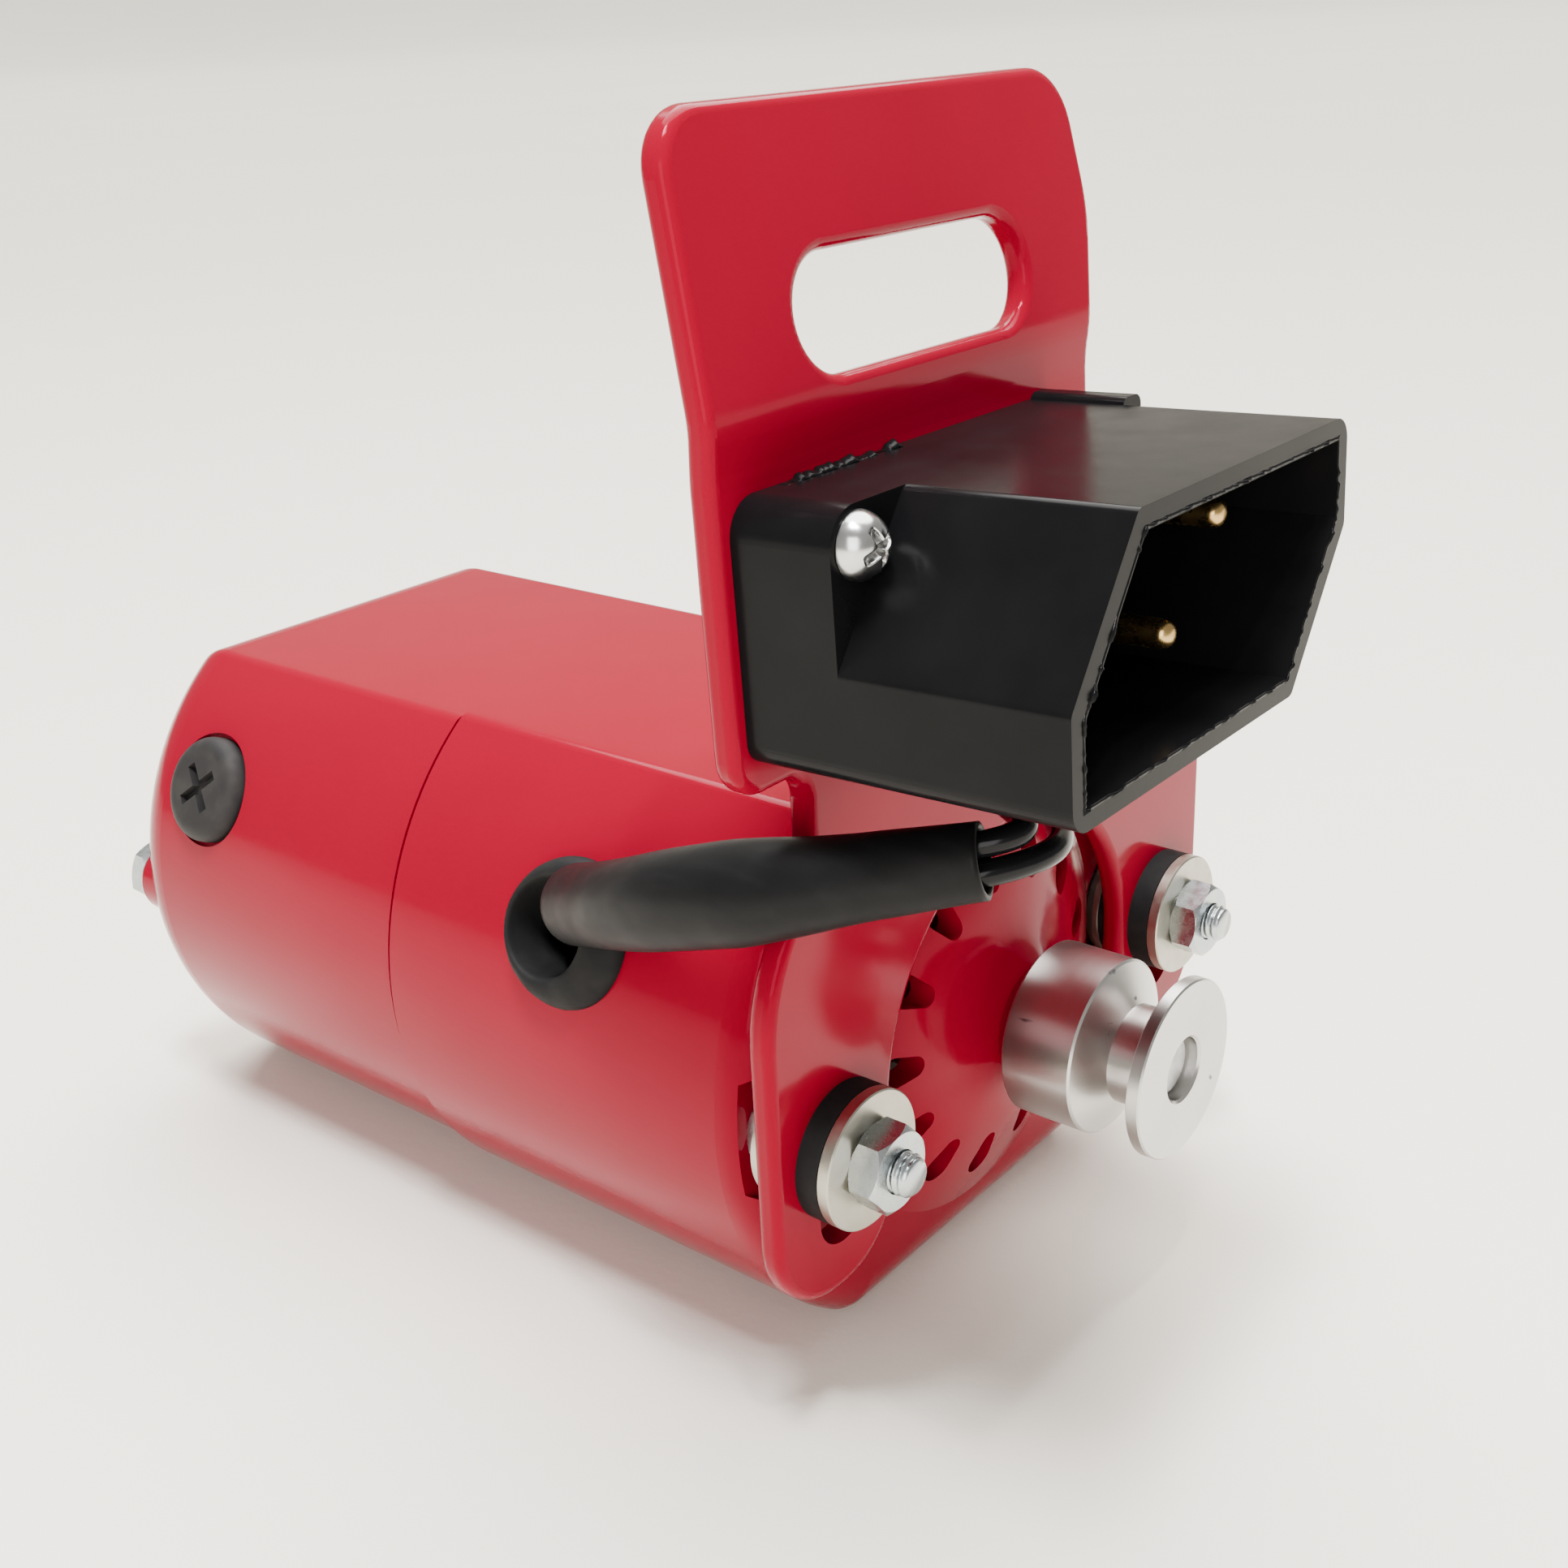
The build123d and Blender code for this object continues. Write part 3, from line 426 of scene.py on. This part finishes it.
MAKERS = {maker.__name__: maker for maker in (
    red_coating, black_moulding, brush_cap_moulding, black_rubber, sleeving, wire_insulation,
    zinc_plate, washer_plate, nickel_screw, brass, bearing_bronze, bright_steel, spring_steel, black_steel,
    turned_aluminium, lamination_steel, enamelled_copper, commutator_copper, fan_moulding, phenolic, carbon)}
MATERIALS = {}


def material(slot):
    """The material of a slot, made when it is first asked for."""
    if slot not in MATERIALS:
        MATERIALS[slot] = MAKERS[slot]()
    return MATERIALS[slot]


def finish_cad_nodes():
    """Each carried-over node gets its slot's full material."""
    for subpart in frame["record"]["subparts"]:
        node = frame["nodes"][subpart["node"]]
        for holder in node.material_slots:
            holder.material = material(subpart["material_slot"])


# Mesh helpers

def add_piece(name, mesh, slot, body, replaces=()):
    """Turns a bmesh into a finished piece on a body, in place of the CAD nodes that it stands for."""
    bmesh.ops.recalc_face_normals(mesh, faces=mesh.faces)
    data = bpy.data.meshes.new(name)
    mesh.to_mesh(data)
    mesh.free()
    data.shade_smooth()
    data.materials.append(material(slot))
    piece = bpy.data.objects.new(name, data)
    bpy.context.scene.collection.objects.link(piece)
    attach(piece, body)
    if replaces:
        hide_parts(*replaces)
    return piece


def bridge(mesh, rings):
    """Joins closed rings of vertices into a skin."""
    for before, after in zip(rings, rings[1:]):
        for i in range(len(before)):
            j = (i + 1) % len(before)
            mesh.faces.new((before[i], before[j], after[j], after[i]))


def closed_ends(mesh, rings):
    """Closes both ends of a skin with flat faces."""
    mesh.faces.new(rings[0])
    mesh.faces.new(rings[-1])


def smooth_line(points):
    """Evenly read points of the NURBS curve that a route controls."""
    data = bpy.data.curves.new("line", "CURVE")
    data.dimensions = "3D"
    data.resolution_u = 24
    spline = data.splines.new("NURBS")
    spline.points.add(len(points) - 1)
    for point, where in zip(spline.points, points):
        point.co = (*where, 1)
    spline.order_u = 3
    spline.use_endpoint_u = True
    holder = bpy.data.objects.new("line", data)
    bpy.context.scene.collection.objects.link(holder)
    bpy.context.view_layer.update()
    mesh = bpy.data.meshes.new_from_object(holder)
    line = [vertex.co.copy() for vertex in mesh.vertices]
    bpy.data.objects.remove(holder)
    bpy.data.curves.remove(data)
    bpy.data.meshes.remove(mesh)
    return line


def respaced(line, step):
    """The same line with points a fixed step apart."""
    result, spare = [line[0]], 0.0
    for start, end in zip(line, line[1:]):
        length = (end - start).length
        at = step - spare
        while at < length:
            result.append(start.lerp(end, at / length))
            at += step
        spare = length - (at - step)
    result.append(line[-1])
    return result


def frames_along(line):
    """A steady pair of cross directions at every point of a line."""
    frames, side = [], None
    for i, point in enumerate(line):
        ahead = line[min(i + 1, len(line) - 1)] - line[max(i - 1, 0)]
        ahead.normalize()
        if side is None:
            side = ahead.orthogonal().normalized()
        side = (side - ahead * side.dot(ahead)).normalized()
        frames.append((point, side, ahead.cross(side)))
    return frames


def ring_on(mesh, here, radius, count, shape=None):
    """A ring of vertices in a frame; shape, when given, scales the radius at each angle."""
    point, side, other = here
    ring = []
    for i in range(count):
        turn = 2 * math.pi * i / count
        reach = radius * (shape(turn) if shape else 1.0)
        ring.append(mesh.verts.new(point + (side * math.cos(turn) + other * math.sin(turn)) * reach))
    return ring


# The lead: the CAD's route, but the sleeve leaves its grommet at a flatter angle

SLEEVE_ROUTE = [place(*point) for point in (
    (-30.0, 27.0, 16.7), (-33.4, 19.6, 20.1), (-34.9, 14.0, 22.4), (-35.5, 8.6, 24.6),
    (-34.7, -0.5, 27.5), (-31.9, -8.5, 29.8), (-28.6, -15.3, 31.4),
)]
WIRE_START = [place(*point) for point in (
    (-16.9, 30.6, 13.8), (-19.8, 30.5, 11.3), (-23.4, 31.8, 10.2), (-27.2, 31.6, 12.0),
)]
WIRE_LOW_END = [place(*point) for point in (
    (-24.2, -18.4, 30.9), (-18.9, -16.4, 30.2), (-14.6, -11.4, 31.2), (-12.8, -5.4, 34.4),
    (-12.8, -5.4, 40.4),
)]
WIRE_HIGH_END = [place(*point) for point in (
    (-25.0, -17.4, 33.2), (-21.9, -12.6, 33.3), (-20.5, -5.4, 34.6), (-20.5, -5.4, 40.4),
)]
WIRE_OFFSET = Vector((0.54, 0.0, 1.07)) * MM
WIRE_RADIUS = 1.05 * MM
WIRE_STEP = 0.4 * MM
WIRE_SIDES = 20
SLEEVE_SWELL = ((0.0, 3.75), (0.12, 3.75), (0.46, 4.2), (0.56, 4.25), (0.82, 3.3), (1.0, 2.95))
SLEEVE_WALL = 0.55 * MM
SLEEVE_STEP = 0.5 * MM
SLEEVE_SIDES = 48
SLEEVE_LIP = 0.12 * MM


def sleeve_radius(share):
    """The sleeve swells in its middle, where it is stretched over the joint of the wires inside."""
    for (low, first), (high, second) in zip(SLEEVE_SWELL, SLEEVE_SWELL[1:]):
        if share <= high:
            along = (share - low) / (high - low)
            eased = along * along * (3 - 2 * along)
            return (first + (second - first) * (along + eased) / 2) * MM
    return SLEEVE_SWELL[-1][1] * MM


def creased(share):
    """How far from round the sleeve is at a share of its length."""
    def shape(turn):
        wave = 0.018 * math.sin(2 * turn + 1.3) + 0.006 * math.sin(3 * turn + 5 * share)
        return 1.0 + wave * (0.3 + share) + 0.004 * noise.noise(Vector((turn * 1.2, share * 14, 3.0)))
    return shape


def lead_sleeve():
    """A tube with a wall and rounded lips, pushed over the wires."""
    line = respaced(smooth_line(SLEEVE_ROUTE), SLEEVE_STEP)
    mesh = bmesh.new()
    outer, inner = [], []
    for i, here in enumerate(frames_along(line)):
        share = i / (len(line) - 1)
        radius = sleeve_radius(share)
        outer.append(ring_on(mesh, here, radius, SLEEVE_SIDES, creased(share)))
        inner.append(ring_on(mesh, here, radius - SLEEVE_WALL, SLEEVE_SIDES, creased(share)))
    bridge(mesh, outer)
    bridge(mesh, inner)
    for end, beside in ((0, 1), (-1, -2)):
        away = (line[end] - line[beside]).normalized() * SLEEVE_LIP
        middle = [mesh.verts.new((a.co + b.co) / 2 + away) for a, b in zip(outer[end], inner[end])]
        bridge(mesh, [outer[end], middle, inner[end]])
    add_piece("lead_sleeve_skin", mesh, "sleeving", "motor", ["lead_sleeve"])


def lead_wires():
    """Two wires side by side from the motor through the sleeve, which part on their way into the inlet."""
    mesh = bmesh.new()
    for sign, end in ((-1, WIRE_LOW_END), (1, WIRE_HIGH_END)):
        route = [point + WIRE_OFFSET * sign for point in WIRE_START + SLEEVE_ROUTE] + end
        line = respaced(smooth_line(route), WIRE_STEP)
        rings = [ring_on(mesh, here, WIRE_RADIUS, WIRE_SIDES) for here in frames_along(line)]
        bridge(mesh, rings)
        closed_ends(mesh, rings)
    add_piece("lead_wire_pair", mesh, "wire_insulation", "motor", ["lead_wires"])


# Studs with real threads

THREAD_PITCH = 0.7 * MM
THREAD_DEPTH = 0.34 * MM
THREAD_LENGTH = 6.5 * MM
THREAD_CREST = 0.985 * STUD_RADIUS
THREAD_STEP = 0.07 * MM
SHANK_STEP = 4.0 * MM
STUD_SIDES = 28
STUD_TIP_SHARE = 0.74
STUD_TIP_TAPER = 2.2 * MM


def threaded_stud(mesh, x, front, rear):
    """A stud along y: a right-hand thread at each end, a plain shank between, and chamfered tips."""
    spans = [(front, front + THREAD_LENGTH, THREAD_STEP),
             (front + THREAD_LENGTH, rear - THREAD_LENGTH, SHANK_STEP),
             (rear - THREAD_LENGTH, rear, THREAD_STEP)]
    stations = []
    for start, end, step in spans:
        count = max(1, round((end - start) / step))
        stations += [start + (end - start) * i / count for i in range(count)]
    stations.append(rear)
    rings = []
    for y in stations:
        to_tip = min(y - front, rear - y)
        threaded = to_tip < THREAD_LENGTH
        tip = min(1.0, STUD_TIP_SHARE + to_tip / STUD_TIP_TAPER)
        ring = []
        for i in range(STUD_SIDES):
            turn = 2 * math.pi * i / STUD_SIDES
            reach = THREAD_CREST
            if threaded:
                wave = (y / THREAD_PITCH + i / STUD_SIDES) % 1.0
                reach -= THREAD_DEPTH * abs(2 * wave - 1) ** 0.8
            reach = min(reach, STUD_RADIUS * tip)
            ring.append(mesh.verts.new((x + reach * math.cos(turn), y, SHAFT_Z + reach * math.sin(turn))))
        rings.append(ring)
    bridge(mesh, rings)
    closed_ends(mesh, rings)


def through_studs():
    """Both studs, as long as the CAD's."""
    low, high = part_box("through_studs")
    mesh = bmesh.new()
    for x in (-STUD_X, STUD_X):
        threaded_stud(mesh, x, low[1], high[1])
    add_piece("threaded_studs", mesh, "zinc_plate", "motor", ["through_studs"])


# Rubber grommet

GROMMET_ANGLE = math.radians(156.1)
GROMMET_Y = 28.8
GROMMET_RADIUS = 7.05
GROMMET_HOLE_SHIFT = 1.6
GROMMET_HOLE_RADIUS = 4.4
GROMMET_INNER_RADIUS = 5.0
GROMMET_SIDES = 72
GROMMET_UNEVEN = 0.05
# Across the dome from its rim to the hole, as (share of the way, height above the shell)
GROMMET_PROFILE = (
    (0.0, -0.5), (0.0, 0.15), (0.03, 0.55), (0.10, 0.95), (0.22, 1.35), (0.40, 1.72), (0.60, 1.95),
    (0.78, 2.02), (0.90, 1.92), (0.97, 1.65), (1.0, 1.25), (1.01, 0.2), (1.03, -2.2), (1.05, -4.2))


def on_shell(along, around, height):
    """A point on the round side of the shell: millimetres to the rear, around it upwards, and above it."""
    angle = GROMMET_ANGLE - around * MM / BODY_RADIUS
    reach = BODY_RADIUS / MM + height
    return place(reach * math.cos(angle), GROMMET_Y + along, reach * math.sin(angle))


def grommet_ring(mesh, shift, reach, height):
    """A ring around the grommet's hole or rim; height is one number or a function of the angle."""
    ring = []
    for i in range(GROMMET_SIDES):
        turn = 2 * math.pi * i / GROMMET_SIDES
        rise = height(turn) if callable(height) else height
        ring.append(mesh.verts.new(on_shell(shift + reach * math.cos(turn), reach * math.sin(turn), rise)))
    return ring


def lead_grommet():
    """A low dome that follows the shell, with a round-lipped hole towards its rear and a neck inside it."""
    mesh = bmesh.new()
    rings = []
    for share, height in GROMMET_PROFILE:
        def uneven(turn, share=share, height=height):
            wave = GROMMET_UNEVEN * noise.noise(Vector((math.cos(turn) * 2, math.sin(turn) * 2, share * 4)))
            return height + wave * (height > 0.5)

        reach = GROMMET_RADIUS + (GROMMET_HOLE_RADIUS - GROMMET_RADIUS) * share
        rings.append(grommet_ring(mesh, GROMMET_HOLE_SHIFT * min(share, 1.0), reach, uneven))
    for height in (GROMMET_PROFILE[-1][1], GROMMET_PROFILE[0][1]):
        rings.append(grommet_ring(mesh, GROMMET_HOLE_SHIFT, GROMMET_INNER_RADIUS, height))
    bridge(mesh, rings + rings[:1])
    add_piece("domed_grommet", mesh, "black_rubber", "motor", ["lead_grommet"])


# Inlet screws with a cross recess

INLET_SCREWS = ((-33.5, 55.3), (1.8, 41.1))
INLET_BASE_DEPTH = 9.0
SCREW_HEAD_RADIUS = 2.55
SCREW_HEAD_HEIGHT = 2.3
SCREW_RIM_HEIGHT = 0.1
SCREW_DOME_POWER = 2.4
SCREW_SHOULDER_POWER = 0.62
SCREW_DOME_STEPS = 34
SCREW_SIDES = 112
# Below the head, as (radius, depth)
SCREW_SHANK = ((1.5, INLET_BASE_DEPTH), (1.5, -3.5), (1.1, -3.9))
RECESS_REACH = 1.62
RECESS_HALF_WIDTH = 0.24
RECESS_SLOPE = 0.16
RECESS_END_SLOPE = 0.35
RECESS_DEPTH = 0.55
RECESS_PIT_DEPTH = 0.9
RECESS_PIT_REACH = 1.3


def on_lower_flag(x, depth, z):
    """A point in the inlet's own directions: depth is measured forwards from the lower flag's face."""
    upright = place(x, -depth, z)
    turned = Matrix.Rotation(-LOWER_LEAN, 4, "X") @ (upright - LEAN_START)
    return turned + LEAN_START


def recess_depth(x, z):
    """A cross recess: four tapering arms that fall towards the middle."""
    reach = math.hypot(x, z)
    arm = min(abs(x), abs(z))
    width = max(0.0, 1 - max(0.0, arm - RECESS_HALF_WIDTH) / RECESS_SLOPE)
    length = max(0.0, min(1.0, (RECESS_REACH - reach) / RECESS_END_SLOPE))
    return width * length * (RECESS_DEPTH + RECESS_PIT_DEPTH * max(0.0, 1 - reach / RECESS_PIT_REACH))


def cross_screw(mesh, x, z, turn):
    """A domed screw with its recess at an angle, and the shank below it."""
    rings = []
    for i in range(1, SCREW_DOME_STEPS + 1):
        share = i / SCREW_DOME_STEPS
        reach = SCREW_HEAD_RADIUS * math.sin(share * math.pi / 2)
        fall = (reach / SCREW_HEAD_RADIUS) ** SCREW_DOME_POWER
        dome = SCREW_HEAD_HEIGHT * max(0.0, 1 - fall) ** SCREW_SHOULDER_POWER
        ring = []
        for j in range(SCREW_SIDES):
            angle = 2 * math.pi * j / SCREW_SIDES
            across, rise = reach * math.cos(angle), reach * math.sin(angle)
            depth = INLET_BASE_DEPTH
            if share < 1:
                depth += max(SCREW_RIM_HEIGHT, dome - recess_depth(across, rise))
            spun_x = across * math.cos(turn) - rise * math.sin(turn)
            spun_z = across * math.sin(turn) + rise * math.cos(turn)
            ring.append(mesh.verts.new(on_lower_flag(x + spun_x, depth, z + spun_z)))
        rings.append(ring)
    for radius, depth in SCREW_SHANK:
        ring = []
        for j in range(SCREW_SIDES):
            angle = 2 * math.pi * j / SCREW_SIDES
            where = on_lower_flag(x + radius * math.cos(angle), depth, z + radius * math.sin(angle))
            ring.append(mesh.verts.new(where))
        rings.append(ring)
    bridge(mesh, rings)
    closed_ends(mesh, rings)


def inlet_screws():
    """Both screws that hold the inlet, each stopped at its own angle."""
    mesh = bmesh.new()
    for number, (x, z) in enumerate(INLET_SCREWS):
        cross_screw(mesh, x, z, math.radians(24 + 37 * number))
    add_piece("cross_head_screws", mesh, "nickel_screw", "motor", ["inlet_screws"])


# Flash that the mould left around the inlet's mouth

INLET_LEFT, INLET_RIGHT, INLET_BOTTOM, INLET_TOP = -36.6, 4.9, 38.1, 58.3
INLET_CUT_X, INLET_CUT_Z = 8.9, 11.6
INLET_CUT_SHRINKS = 0.45
INLET_DEPTH = 27.8
INLET_WALL = 1.7
MOUTH_FLASH_STEP = 0.22
# The fringe on the mouth's edge, as insets from the inlet's outside
MOUTH_FLASH_INSETS = (INLET_WALL - 0.42, INLET_WALL - 0.14, INLET_WALL)
REAR_FLASH_START, REAR_FLASH_LENGTH = -31.0, 15.0
REAR_FLASH_STEPS = 90
REAR_FLASH_TAPER = 8


def mouth_outline(inset):
    """The six corners of the inlet's outline, moved inwards by an inset."""
    left, right = INLET_LEFT + inset, INLET_RIGHT - inset
    bottom, top = INLET_BOTTOM + inset, INLET_TOP - inset
    cut_x, cut_z = INLET_CUT_X - INLET_CUT_SHRINKS * inset, INLET_CUT_Z - INLET_CUT_SHRINKS * inset
    return [Vector(point) for point in (
        (left, bottom), (right - cut_x, bottom), (right, bottom + cut_z), (right, top), (left + cut_x, top),
        (left, top - cut_z))]


def rear_flash(mesh):
    """A low broken ridge of flash where the inlet's top meets the bracket."""
    rings = []
    for step in range(REAR_FLASH_STEPS + 1):
        x = REAR_FLASH_START + REAR_FLASH_LENGTH * step / REAR_FLASH_STEPS
        ragged = noise.fractal(Vector((x * 0.55, 2.0, 9.0)), 0.8, 2.1, 4)
        taper = min(1.0, step / REAR_FLASH_TAPER, (REAR_FLASH_STEPS - step) / REAR_FLASH_TAPER)
        height = taper * max(0.0, 0.28 + 0.75 * ragged)
        rings.append([mesh.verts.new(on_lower_flag(x, depth, INLET_TOP + rise)) for depth, rise in (
            (0.05, -0.05), (0.15, height * 0.8), (0.45, height), (0.85, height * 0.45), (1.15, -0.05))])
    bridge(mesh, rings)
    closed_ends(mesh, rings)


def inlet_flash():
    """A thin ragged fringe on the inner edge of the mouth, and more along the rear."""
    mesh = bmesh.new()
    rear_flash(mesh)
    root_outer, tip, root_inner = (mouth_outline(inset) for inset in MOUTH_FLASH_INSETS)
    rings = [[], [], []]
    for side in range(len(tip)):
        following = (side + 1) % len(tip)
        count = round((tip[following] - tip[side]).length / MOUTH_FLASH_STEP)
        for i in range(count):
            share = i / count
            middle = tip[side].lerp(tip[following], share)
            ragged = noise.fractal(Vector((middle.x * 0.7, middle.y * 0.7, 5.0)), 0.7, 2.2, 4)
            height = 0.06 + 0.42 * max(0.0, ragged)
            for ring, line, depth in ((rings[0], root_outer, -0.02), (rings[1], tip, height),
                                      (rings[2], root_inner, -0.02)):
                where = line[side].lerp(line[following], share)
                ring.append(mesh.verts.new(on_lower_flag(where.x, INLET_DEPTH + depth, where.y)))
    bridge(mesh, rings + rings[:1])
    add_piece("inlet_mouth_flash", mesh, "black_moulding", "motor")


# Brush springs, coiled along each brush's axis

BRUSH_Y = 85.6
BRUSH_ANGLES = {"left": math.radians(154), "right": math.radians(-26)}
COIL_START, COIL_END = 20.5, 25.7
COIL_RADIUS = 1.7
COIL_WIRE = 0.25
COIL_TURNS = 5.5
COIL_REST_TURNS = 0.9
COIL_CLOSED = COIL_REST_TURNS * 2.1 * COIL_WIRE
COIL_STEPS_IN_TURN = 28
COIL_SIDES = 14


def coil_height(turn):
    """How far along its axis a spring is after some turns: its first and last turns lie closed."""
    if turn < COIL_REST_TURNS:
        return COIL_START + COIL_CLOSED * turn / COIL_REST_TURNS
    if turn > COIL_TURNS - COIL_REST_TURNS:
        return COIL_END - COIL_CLOSED * (COIL_TURNS - turn) / COIL_REST_TURNS
    share = (turn - COIL_REST_TURNS) / (COIL_TURNS - 2 * COIL_REST_TURNS)
    return COIL_START + COIL_CLOSED + (COIL_END - COIL_START - 2 * COIL_CLOSED) * share


def brush_coil(side, angle):
    """A spring along its brush's axis, with closed turns at both ends."""
    line = []
    steps = round(COIL_TURNS * COIL_STEPS_IN_TURN)
    for step in range(steps + 1):
        turn = COIL_TURNS * step / steps
        around = 2 * math.pi * turn
        height, across = coil_height(turn), COIL_RADIUS * math.sin(around)
        line.append(place(height * math.cos(angle) - across * math.sin(angle),
                          BRUSH_Y + COIL_RADIUS * math.cos(around),
                          height * math.sin(angle) + across * math.cos(angle)))
    mesh = bmesh.new()
    rings = [ring_on(mesh, here, COIL_WIRE * MM, COIL_SIDES) for here in frames_along(line)]
    bridge(mesh, rings)
    closed_ends(mesh, rings)
    coil = add_piece(side + "_brush_coil", mesh, "spring_steel", "motor", [side + "_brush_spring"])
    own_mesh(coil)


add_camera()
lead_sleeve()
lead_wires()
through_studs()
lead_grommet()
inlet_screws()
inlet_flash()
for side, angle in BRUSH_ANGLES.items():
    brush_coil(side, angle)
finish_cad_nodes()
add_lights()
add_floor()
